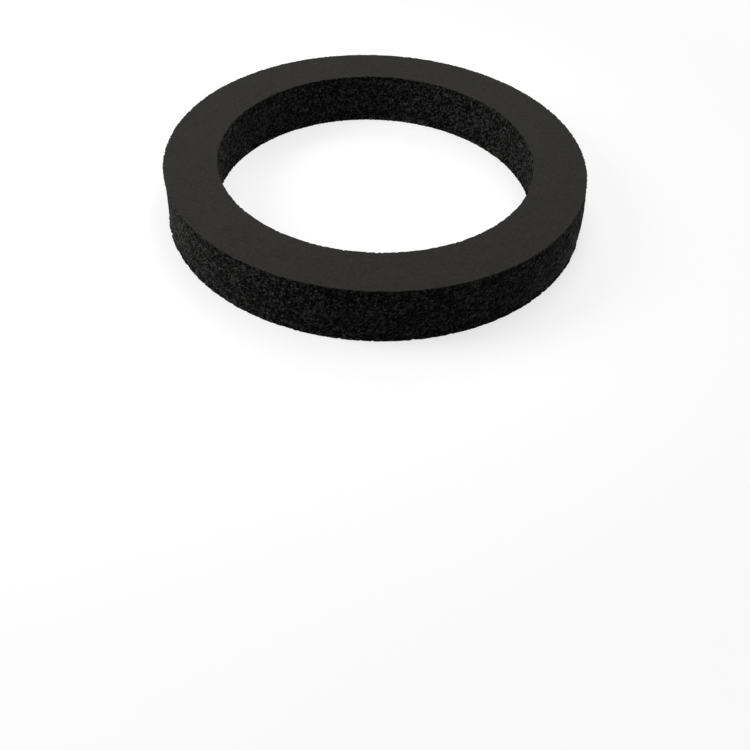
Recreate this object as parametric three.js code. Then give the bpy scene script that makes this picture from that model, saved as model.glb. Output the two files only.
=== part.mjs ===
// A foam sealing ring, one piece stamped from a thick sheet of closed-cell foam.
// Both flat faces keep the sheet's own dense skin, and both round walls are cut through its cells.
// Millimetres, +Z up. The origin is the middle of the ring, at the height of its underside.
import * as THREE from "three";

// Driving dimensions
const RIM_RADIUS = 92; // outer edge of the top face
const HOLE_RADIUS = 69.3; // edge of the hole in the top face
const THICKNESS = 25;

// The cutter squeezes the foam, which springs back after the cut, so both walls come out hollow and leaning.
const RIM_SPREAD = 0.8; // how much further out the rim's lower edge lies than its upper one
const HOLE_SPREAD = 2.5; // how much further out the hole's lower edge lies than its upper one
const RIM_DISH = 0.1; // how deep the outer wall is hollowed half way up
const HOLE_DISH = 0.4; // how deep the hole's wall is hollowed half way up
const SKIN_DEPTH = 0.6; // thickness of the dense skin on each face
const SKIN_LIP = 0.4; // how far the skin's cut edge stands proud of the open cells
const EDGE_ROUND = 0.15; // size of the worn corner on the skin's edge

// Fineness of the surface
const TURN_STEPS = 120; // flats round the ring
const WALL_STEPS = 5; // flats up the open cells of a wall

const skinColour = 0x363533; // matt charcoal

// How far the cut wall lies from the straight line between its two edges, at the share t of its height.
function dished(depth, t) {
  return 4 * depth * t * (1 - t);
}

// One cut wall from the underside to the top, as points (radius, height).
// side is 1 on the outer wall and -1 in the hole. The foam is always on the inner hand of the wall.
function cutWall(topRadius, spread, dish, side) {
  const reach = (height) => topRadius + spread * (1 - height / THICKNESS);
  const skinTop = THICKNESS - SKIN_DEPTH;
  const points = [
    [reach(0) - side * EDGE_ROUND, 0],
    [reach(0), EDGE_ROUND],
    [reach(SKIN_DEPTH), SKIN_DEPTH],
  ];
  for (let i = 0; i <= WALL_STEPS; i++) {
    const t = i / WALL_STEPS;
    const height = SKIN_DEPTH + SKIN_LIP + t * (skinTop - SKIN_DEPTH - 2 * SKIN_LIP);
    points.push([reach(height) - side * (SKIN_LIP + dished(dish, t)), height]);
  }
  points.push([reach(skinTop), skinTop]);
  points.push([topRadius, THICKNESS - EDGE_ROUND]);
  points.push([topRadius - side * EDGE_ROUND, THICKNESS]);
  return points;
}

// The ring's section, once round: up the outer wall, over the top face, down the hole's wall and back under.
function sectionOutline() {
  const outline = [
    ...cutWall(RIM_RADIUS, RIM_SPREAD, RIM_DISH, 1),
    ...cutWall(HOLE_RADIUS, HOLE_SPREAD, HOLE_DISH, -1).reverse(),
  ];
  outline.push(outline[0]);
  return outline.map(([radius, height]) => new THREE.Vector2(radius, height));
}

function foamRing() {
  const geometry = new THREE.LatheGeometry(sectionOutline(), TURN_STEPS);
  geometry.rotateX(Math.PI / 2); // the lathe turns about Y, and the ring lies flat about Z
  const foam = new THREE.MeshStandardMaterial({
    color: skinColour,
    roughness: 0.85,
    metalness: 0,
  });
  const ring = new THREE.Mesh(geometry, foam);
  ring.name = "foam_ring";
  return ring;
}

const part = new THREE.Group();
part.add(foamRing());

export default part;
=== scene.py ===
from math import exp, hypot, pi, radians

import bmesh
import bpy
from mathutils import Matrix, Vector, noise


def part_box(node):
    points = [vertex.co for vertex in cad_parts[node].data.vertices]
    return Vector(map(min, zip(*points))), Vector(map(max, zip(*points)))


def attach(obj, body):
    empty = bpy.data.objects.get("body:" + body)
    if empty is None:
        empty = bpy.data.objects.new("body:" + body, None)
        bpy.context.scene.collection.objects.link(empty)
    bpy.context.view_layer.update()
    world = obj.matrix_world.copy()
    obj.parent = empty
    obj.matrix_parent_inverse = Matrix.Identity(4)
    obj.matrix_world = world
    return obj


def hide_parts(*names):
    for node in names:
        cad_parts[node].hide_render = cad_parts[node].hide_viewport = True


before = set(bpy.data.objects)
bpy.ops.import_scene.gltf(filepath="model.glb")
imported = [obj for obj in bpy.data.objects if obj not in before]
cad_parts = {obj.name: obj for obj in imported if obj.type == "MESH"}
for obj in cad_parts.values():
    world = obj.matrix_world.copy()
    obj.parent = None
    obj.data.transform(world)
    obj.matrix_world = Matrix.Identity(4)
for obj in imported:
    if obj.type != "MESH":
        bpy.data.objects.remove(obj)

scene = bpy.context.scene
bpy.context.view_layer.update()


# The camera
# It looks down on the ring, which stands in the upper half of the square frame.
# It leans a little to one side.
FRAME_SIDE = 750  # pixels
SENSOR = 36.0  # millimetres
LENS = 42.5  # millimetres
LOOK_DOWN = radians(46.2)  # below the horizon
CAMERA_LEAN = radians(2.58)
TOP_MIDDLE_PIXEL = (376.1, 153.8)  # where the middle of the ring's top face shows
TOP_MIDDLE_DISTANCE = 0.4016  # metres from the lens

ring_low, ring_high = (Vector(corner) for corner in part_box("foam_ring"))
top_middle = Vector((0, 0, ring_high.z))

camera_data = bpy.data.cameras.new("camera")
camera_data.lens = LENS
camera_data.sensor_width = SENSOR
camera_data.clip_start = 0.01
camera = bpy.data.objects.new("camera", camera_data)
scene.collection.objects.link(camera)
camera_turn = Matrix.Rotation(pi / 2 - LOOK_DOWN, 3, "X") @ Matrix.Rotation(CAMERA_LEAN, 3, "Z")
pixels_per_unit = LENS / SENSOR * FRAME_SIDE
sight = Vector((
    (TOP_MIDDLE_PIXEL[0] - FRAME_SIDE / 2) / pixels_per_unit,
    (FRAME_SIDE / 2 - TOP_MIDDLE_PIXEL[1]) / pixels_per_unit,
    -1,
)).normalized()
camera.rotation_euler = camera_turn.to_euler()
camera.location = top_middle - camera_turn @ (sight * TOP_MIDDLE_DISTANCE)
scene.camera = camera


# The foam ring
# One piece stamped from a thick sheet of closed-cell foam. Both flat faces keep the sheet's dense skin.
# The walls are cut through the cells, so they are rough with opened bubbles, and a little hollow.
MM = 0.001
THICKNESS = ring_high.z - ring_low.z
RIM_RADIUS = 92 * MM  # of the top face
HOLE_RADIUS = 69.3 * MM
RIM_SPREAD = 0.8 * MM  # how much further out the rim's lower edge lies than its upper one
HOLE_SPREAD = 2.5 * MM
RIM_DISH = 0.1 * MM  # how deep each wall is hollowed half way up
HOLE_DISH = 0.4 * MM
SWELL = 1.3 * MM  # how far the outer wall swells on its +X side, half way up
SWELL_FOOT = 0.8 * MM  # how far its lower edge stands out there
SWELL_FOCUS = 4  # the higher, the narrower the swollen side

SKIN_DEPTH = 0.6 * MM
SKIN_LIP = 0.4 * MM  # how far the skin's cut edge stands proud of the open cells
EDGE_ROUND = 0.15 * MM
EDGE_WAVER = 0.12 * MM  # how far the cut strays from a true circle
WAVER_STEP = 2.5 * MM
NIP = 0.3 * MM  # how far the foam is drawn in just under each skin
NIP_HEIGHT = 2.2 * MM  # where it is drawn in most, from the face
NIP_SPAN = 1.6 * MM

CELL_SIZE = 1.2 * MM
CELL_WALL = 0.06  # the flat top of the wall between two bubbles, as a share of a cell
CELL_SLOPE = 0.5  # the share of a cell over which a bubble gets its full depth
CELL_STRIDE = 7.3  # spreads neighbouring bubbles over far apart values of the noise
PIT_DEPTH = 0.6 * MM  # from the rim of an opened bubble to its middle
PIT_SHARE = 0.35  # how much of that lies outside the mean wall
EDGE_BITE = 0.6 * MM  # how deep the bubbles eat into the skin's edge
GRID_SCATTER = 0.16 * MM  # keeps the cut cells from lining up in rows
SCATTER_STEP = 0.31 * MM

TURN_STEPS = 1000
WALL_CUTS = 44
MERGE_DISTANCE = 0.001 * MM
FLAT_FROM = 0.5  # the height part of a face's normal from which it is one of the flat faces
# The depth in a bubble, kept on each point; the cut foam's colour darkens with it as painted shade.
PIT_ATTRIBUTE = "pit"
SKIN, CUT = 0, 1  # the places of the two finishes
NOISE_SEED = 1  # the scatter would otherwise change from run to run
noise.seed_set(NOISE_SEED)


def bow(depth, share):
    """Nothing at both edges of a wall, and the full depth half way up."""
    return 4 * depth * share * (1 - share)


def spun_section(mesh):
    """The plain ring: a four-cornered section turned once round the axis."""
    corners = [
        (RIM_RADIUS + RIM_SPREAD, 0),
        (RIM_RADIUS, THICKNESS),
        (HOLE_RADIUS, THICKNESS),
        (HOLE_RADIUS + HOLE_SPREAD, 0),
    ]
    points = [mesh.verts.new((radius, 0, height)) for radius, height in corners]
    section = [mesh.edges.new((points[i - 1], points[i])) for i in range(len(points))]
    bmesh.ops.spin(
        mesh, geom=points + section, cent=(0, 0, 0), axis=(0, 0, 1), dvec=(0, 0, 0),
        angle=2 * pi, steps=TURN_STEPS, use_merge=True, use_duplicate=False,
    )
    bmesh.ops.remove_doubles(mesh, verts=mesh.verts, dist=MERGE_DISTANCE)
    bmesh.ops.recalc_face_normals(mesh, faces=mesh.faces)


def is_upright(edge):
    a, b = edge.verts
    return abs(a.co.z - b.co.z) > THICKNESS / 2


def cell_depth(place):
    """How deep a point of the cut lies in an opened bubble, from 0 on a bubble's rim to 1 at its middle."""
    distances, centres = noise.voronoi(place / CELL_SIZE)
    from_rim = min(1, max(0, (distances[1] - distances[0] - CELL_WALL) / CELL_SLOPE))
    cut_share = (1 + noise.cell(centres[0] * CELL_STRIDE)) / 2  # each bubble is cut at its own height
    return from_rim * cut_share


def scatter(place, step):
    return noise.noise_vector(place / step)


def rim_swell(out, share):
    """How far the outer wall swells out at this share of its height, most on the +X side."""
    facing = max(0, out.x) ** SWELL_FOCUS
    return facing * (bow(SWELL, share) + SWELL_FOOT * (1 - share) ** 2)


def shape_wall(vert, pits):
    """Moves a point of the straight wall to the hollow, cut one, and notes how deep in a bubble it is."""
    on_rim = hypot(vert.co.x, vert.co.y) > (RIM_RADIUS + HOLE_RADIUS) / 2
    spread, dish, inward = (RIM_SPREAD, RIM_DISH, -1) if on_rim else (HOLE_SPREAD, HOLE_DISH, 1)
    place = vert.co.copy()
    height = place.z
    share = height / THICKNESS
    out = Vector((place.x, place.y, 0)).normalized()
    from_face = min(height, THICKNESS - height)
    opened = min(1, from_face / SKIN_DEPTH)
    nip = opened * NIP * exp(-((from_face - NIP_HEIGHT) / NIP_SPAN) ** 2)
    depth = cell_depth(place)
    rough = (depth - PIT_SHARE) * (PIT_DEPTH * opened + EDGE_BITE * (1 - opened))
    radius = (RIM_RADIUS if on_rim else HOLE_RADIUS) + spread * (1 - share)
    radius += inward * (opened * SKIN_LIP + nip + bow(dish, share) + rough)
    radius += EDGE_WAVER * scatter(place, WAVER_STEP).x
    if on_rim:
        radius += rim_swell(out, share)
    jitter = GRID_SCATTER * opened * scatter(place, SCATTER_STEP)
    across = Vector((-out.y, out.x, 0))
    vert.co = out * radius + across * jitter.x + Vector((0, 0, height + opened * jitter.z))
    vert[pits] = depth


def ring_mesh():
    mesh = bmesh.new()
    spun_section(mesh)
    uprights = [edge for edge in mesh.edges if is_upright(edge)]
    bmesh.ops.subdivide_edges(mesh, edges=uprights, cuts=WALL_CUTS, use_grid_fill=True)
    pits = mesh.verts.layers.float.new(PIT_ATTRIBUTE)
    for face in mesh.faces:
        is_wall = abs(face.normal.z) < FLAT_FROM
        face.material_index = CUT if is_wall else SKIN
        face.smooth = is_wall
    for vert in mesh.verts:
        shape_wall(vert, pits)
    corner_edges = [
        edge for edge in mesh.edges
        if len({face.material_index for face in edge.link_faces}) == 2
    ]
    for edge in corner_edges:
        edge.smooth = False
    worn = bmesh.ops.bevel(
        mesh, geom=corner_edges, offset=EDGE_ROUND, affect="EDGES", segments=1, profile=0.5,
        material=-1, clamp_overlap=True,
    )
    for face in worn["faces"]:
        face.material_index = SKIN
    bmesh.ops.remove_doubles(mesh, verts=mesh.verts, dist=MERGE_DISTANCE)
    mesh.normal_update()
    data = bpy.data.meshes.new("cut_foam_ring")
    mesh.to_mesh(data)
    mesh.free()
    return data


def socket(group, name, kind, way, value=None):
    made = group.interface.new_socket(name=name, socket_type=kind, in_out=way)
    if value is not None:
        made.default_value = value
    return made


def node(tree, kind, **settings):
    made = tree.nodes.new(kind)
    for name, value in settings.items():
        setattr(made, name, value)
    return made


def foam_mottle_group():
    """Slow unevenness of the pigment and a fine grain, both from 0 to 1 about a middle of 0.5."""
    group = bpy.data.node_groups.new("foam mottle", "ShaderNodeTree")
    socket(group, "Vector", "NodeSocketVector", "INPUT")
    socket(group, "Patch Scale", "NodeSocketFloat", "INPUT", 40.0)
    socket(group, "Grain Scale", "NodeSocketFloat", "INPUT", 1500.0)
    socket(group, "Patches", "NodeSocketFloat", "OUTPUT")
    socket(group, "Grain", "NodeSocketFloat", "OUTPUT")
    given = node(group, "NodeGroupInput")
    result = node(group, "NodeGroupOutput")
    for scale_name, out_name, detail in (("Patch Scale", "Patches", 3.0), ("Grain Scale", "Grain", 2.0)):
        cloud = node(group, "ShaderNodeTexNoise")
        cloud.inputs["Detail"].default_value = detail
        group.links.new(given.outputs["Vector"], cloud.inputs["Vector"])
        group.links.new(given.outputs[scale_name], cloud.inputs["Scale"])
        group.links.new(cloud.outputs["Fac"], result.inputs[out_name])
    return group


foam_mottle = foam_mottle_group()


def place_on_piece(tree):
    """A point's place in its own piece's coordinates, in metres."""
    return node(tree, "ShaderNodeTexCoord").outputs["Object"]


def mottle_in(tree, place, patch_scale, grain_scale):
    mottle = node(tree, "ShaderNodeGroup", node_tree=foam_mottle)
    mottle.inputs["Patch Scale"].default_value = patch_scale
    mottle.inputs["Grain Scale"].default_value = grain_scale
    tree.links.new(place, mottle.inputs["Vector"])
    return mottle


def ramp(tree, source, stops):
    made = node(tree, "ShaderNodeValToRGB")
    elements = made.color_ramp.elements
    for element, (place, _) in zip(elements, stops):
        element.position = place
    for place, _ in stops[len(elements):]:
        elements.new(place)
    for element, (_, colour) in zip(elements, stops):
        element.color = (*colour, 1)
    tree.links.new(source, made.inputs["Fac"])
    return made.outputs["Color"]


def foam_material(name, roughness, specular):
    material = bpy.data.materials.new(name)
    material.use_nodes = True
    shader = material.node_tree.nodes["Principled BSDF"]
    shader.inputs["Roughness"].default_value = roughness
    shader.inputs["Specular IOR Level"].default_value = specular
    return material, material.node_tree, shader


def skin_material():
    """Dense skin: smooth, matt and slightly warm, with slow patches and a grain finer than a millimetre."""
    material, tree, shader = foam_material("foam skin", roughness=0.8, specular=0.06)
    mottle = mottle_in(tree, place_on_piece(tree), patch_scale=90.0, grain_scale=900.0)
    tone = node(tree, "ShaderNodeMath", operation="MULTIPLY_ADD")
    tone.inputs[1].default_value = 0.3
    tree.links.new(mottle.outputs["Patches"], tone.inputs[0])
    tree.links.new(mottle.outputs["Grain"], tone.inputs[2])
    colour = ramp(tree, tone.outputs["Value"], [
        (0.40, (0.0196, 0.0190, 0.0177)),
        (0.90, (0.0296, 0.0287, 0.0268)),
    ])
    tree.links.new(colour, shader.inputs["Base Color"])
    bump = node(tree, "ShaderNodeBump")
    bump.inputs["Strength"].default_value = 0.25
    bump.inputs["Distance"].default_value = 0.05 * MM
    tree.links.new(mottle.outputs["Grain"], bump.inputs["Height"])
    tree.links.new(bump.outputs["Normal"], shader.inputs["Normal"])
    return material


PORE_SIZE = 0.75 * MM
PORE_DEPTH = 0.15 * MM


def cut_material():
    """Opened cells: the colour grows darker with the depth in a bubble, a painted shade that leaves the
    bubbles nearly black, and the rims stay greyer, partly the own grey of the cell walls the cutter left and
    partly a painted glint where light catches them.
    """
    material, tree, shader = foam_material("cut foam", roughness=0.7, specular=0.02)
    place = place_on_piece(tree)
    mottle = mottle_in(tree, place, patch_scale=60.0, grain_scale=1900.0)
    depth = node(tree, "ShaderNodeAttribute", attribute_name=PIT_ATTRIBUTE)
    pores = node(tree, "ShaderNodeTexVoronoi", feature="DISTANCE_TO_EDGE")
    pores.inputs["Scale"].default_value = 1 / PORE_SIZE
    tree.links.new(place, pores.inputs["Vector"])
    # Fine random grain plus the depth in a bubble; the depth part is painted shade, darker the deeper in the
    # bubble.
    grain = node(tree, "ShaderNodeMath", operation="MULTIPLY_ADD")
    grain.inputs[1].default_value = 0.6
    tree.links.new(mottle.outputs["Grain"], grain.inputs[0])
    tree.links.new(depth.outputs["Fac"], grain.inputs[2])
    # From pale rims, partly painted glints, down to near black bubble middles, which are painted shade.
    colour = ramp(tree, grain.outputs["Value"], [
        (0.15, (0.1900, 0.1860, 0.1800)),
        (0.23, (0.0800, 0.0784, 0.0760)),
        (0.31, (0.0280, 0.0275, 0.0267)),
        (0.42, (0.0065, 0.0064, 0.0062)),
        (0.70, (0.0007, 0.0007, 0.0007)),
    ])
    tree.links.new(colour, shader.inputs["Base Color"])
    bump = node(tree, "ShaderNodeBump", invert=True)
    bump.inputs["Strength"].default_value = 0.6
    bump.inputs["Distance"].default_value = PORE_DEPTH
    tree.links.new(pores.outputs["Distance"], bump.inputs["Height"])
    tree.links.new(bump.outputs["Normal"], shader.inputs["Normal"])
    return material


foam = bpy.data.objects.new("cut_foam_ring", ring_mesh())
scene.collection.objects.link(foam)
foam.data.materials.append(skin_material())
foam.data.materials.append(cut_material())
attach(foam, "root")
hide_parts("foam_ring")


# The floor
# A plain white table top. The ring rests on it and leaves a soft shadow, and it fades into white.
# It is left open under the ring, and clear from below, so that the underside shows too.
FLOOR_RADIUS = 4.0
FLOOR_SEGMENTS = 256
FLOOR_GAP = 0.05 * MM  # below the ring's underside
FLOOR_TUCK = 0.6 * MM  # how far it reaches in under the ring's edges
FLOOR_COLOUR = (0.4, 0.4, 0.4, 1)
FLOOR_FADE = (0.16, 0.40)  # metres from the ring's axis
FLOOR_LIFT = 0.68  # the white it gives off itself, where it is looked at


def looked_at(tree):
    """1 where the camera sees a surface, directly or in a gloss or through glass, and 0 where light does."""
    path = node(tree, "ShaderNodeLightPath")
    seen = path.outputs["Is Camera Ray"]
    for ray in ("Is Glossy Ray", "Is Transmission Ray"):
        either = node(tree, "ShaderNodeMath", operation="MAXIMUM")
        tree.links.new(seen, either.inputs[0])
        tree.links.new(path.outputs[ray], either.inputs[1])
        seen = either.outputs["Value"]
    return seen


def product(tree, first):
    """A multiplication whose second number is still to be set or linked."""
    made = node(tree, "ShaderNodeMath", operation="MULTIPLY")
    tree.links.new(first, made.inputs[0])
    return made


def mixed(tree, factor, first, second):
    made = node(tree, "ShaderNodeMixShader")
    tree.links.new(factor, made.inputs["Fac"])
    tree.links.new(first, made.inputs[1])
    tree.links.new(second, made.inputs[2])
    return made.outputs["Shader"]


def floor_material():
    """Lit near the ring, so that it takes the shadow, and even white further out."""
    material = bpy.data.materials.new("white table")
    material.use_nodes = True
    tree = material.node_tree
    shader = tree.nodes["Principled BSDF"]
    shader.inputs["Base Color"].default_value = FLOOR_COLOUR
    shader.inputs["Roughness"].default_value = 1.0
    shader.inputs["Specular IOR Level"].default_value = 0.0
    shader.inputs["Emission Color"].default_value = (1, 1, 1, 1)
    seen = looked_at(tree)
    lift = product(tree, seen)
    lift.inputs[1].default_value = FLOOR_LIFT
    tree.links.new(lift.outputs["Value"], shader.inputs["Emission Strength"])
    reach = node(tree, "ShaderNodeVectorMath", operation="LENGTH")
    tree.links.new(place_on_piece(tree), reach.inputs[0])
    fade = node(tree, "ShaderNodeMapRange", interpolation_type="SMOOTHSTEP")
    fade.inputs["From Min"].default_value = FLOOR_FADE[0]
    fade.inputs["From Max"].default_value = FLOOR_FADE[1]
    tree.links.new(reach.outputs["Value"], fade.inputs["Value"])
    far = product(tree, seen)
    tree.links.new(fade.outputs["Result"], far.inputs[1])
    even = node(tree, "ShaderNodeEmission")
    facing = node(tree, "ShaderNodeNewGeometry")
    clear = node(tree, "ShaderNodeBsdfTransparent")
    top = mixed(tree, far.outputs["Value"], shader.outputs["BSDF"], even.outputs["Emission"])
    either_side = mixed(tree, facing.outputs["Backfacing"], top, clear.outputs["BSDF"])
    tree.links.new(either_side, tree.nodes["Material Output"].inputs["Surface"])
    return material


def floor_mesh():
    """A round sheet inside the ring's hole, and a wide band from under the ring's outer edge."""
    mesh = bmesh.new()
    in_hole = HOLE_RADIUS + HOLE_SPREAD + FLOOR_TUCK
    bmesh.ops.create_circle(mesh, cap_ends=True, segments=FLOOR_SEGMENTS, radius=in_hole)
    band_start = RIM_RADIUS + RIM_SPREAD - FLOOR_TUCK
    bmesh.ops.create_circle(mesh, cap_ends=False, segments=FLOOR_SEGMENTS, radius=band_start)
    start = [edge for edge in mesh.edges if edge.is_wire]
    stretched = bmesh.ops.extrude_edge_only(mesh, edges=start)["geom"]
    outer = [item for item in stretched if isinstance(item, bmesh.types.BMVert)]
    stretch = FLOOR_RADIUS / band_start
    bmesh.ops.scale(mesh, verts=outer, vec=(stretch, stretch, 1))
    bmesh.ops.translate(mesh, verts=mesh.verts, vec=(0, 0, -FLOOR_GAP))
    mesh.normal_update()
    upside_down = [face for face in mesh.faces if face.normal.z < 0]
    bmesh.ops.reverse_faces(mesh, faces=upside_down)
    data = bpy.data.meshes.new("floor")
    mesh.to_mesh(data)
    mesh.free()
    return data


floor = bpy.data.objects.new("floor", floor_mesh())
scene.collection.objects.link(floor)
floor.data.materials.append(floor_material())


# The light
# Soft boxes hang over the ring and high behind it, and one stands at each side.
# The front is left the darkest. One more shines up from below the floor, and reaches the underside alone.
SOFT_BOXES = {
    "overhead": {"place": (0.05, -0.02, 0.36), "size": (0.26, 0.20), "watts": 0.56},
    "behind": {"place": (0.05, 0.45, 0.55), "size": (0.60, 0.30), "watts": 1.2},
    "left": {"place": (-0.45, -0.05, 0.28), "size": (0.20, 0.40), "watts": 1.8},
    "right": {"place": (0.75, 0.15, 0.22), "size": (0.25, 0.60), "watts": 0.35},
    "below": {"place": (0.0, 0.0, -1.2), "size": (0.80, 0.80), "watts": 10.0},
}
ROOM_LIGHT = 0.10  # as it lights the ring. Where the room itself is looked at, it is white.


def soft_box(name, place, size, watts):
    light = bpy.data.lights.new(name, "AREA")
    light.shape = "RECTANGLE"
    light.size, light.size_y = size
    light.energy = watts
    lamp = bpy.data.objects.new(name, light)
    lamp.location = place
    lamp.rotation_euler = (Vector(place) - top_middle).to_track_quat("Z", "Y").to_euler()
    scene.collection.objects.link(lamp)


for box_name, box in SOFT_BOXES.items():
    soft_box(box_name, **box)

world = bpy.data.worlds.new("room")
scene.world = world
world.use_nodes = True
room = world.node_tree
background = room.nodes["Background"]
background.inputs["Color"].default_value = (1, 1, 1, 1)
strength = node(room, "ShaderNodeMapRange")
strength.inputs["To Min"].default_value = ROOM_LIGHT
strength.inputs["To Max"].default_value = 1.0
room.links.new(looked_at(room), strength.inputs["Value"])
room.links.new(strength.outputs["Result"], background.inputs["Strength"])

scene.view_settings.view_transform = "Standard"
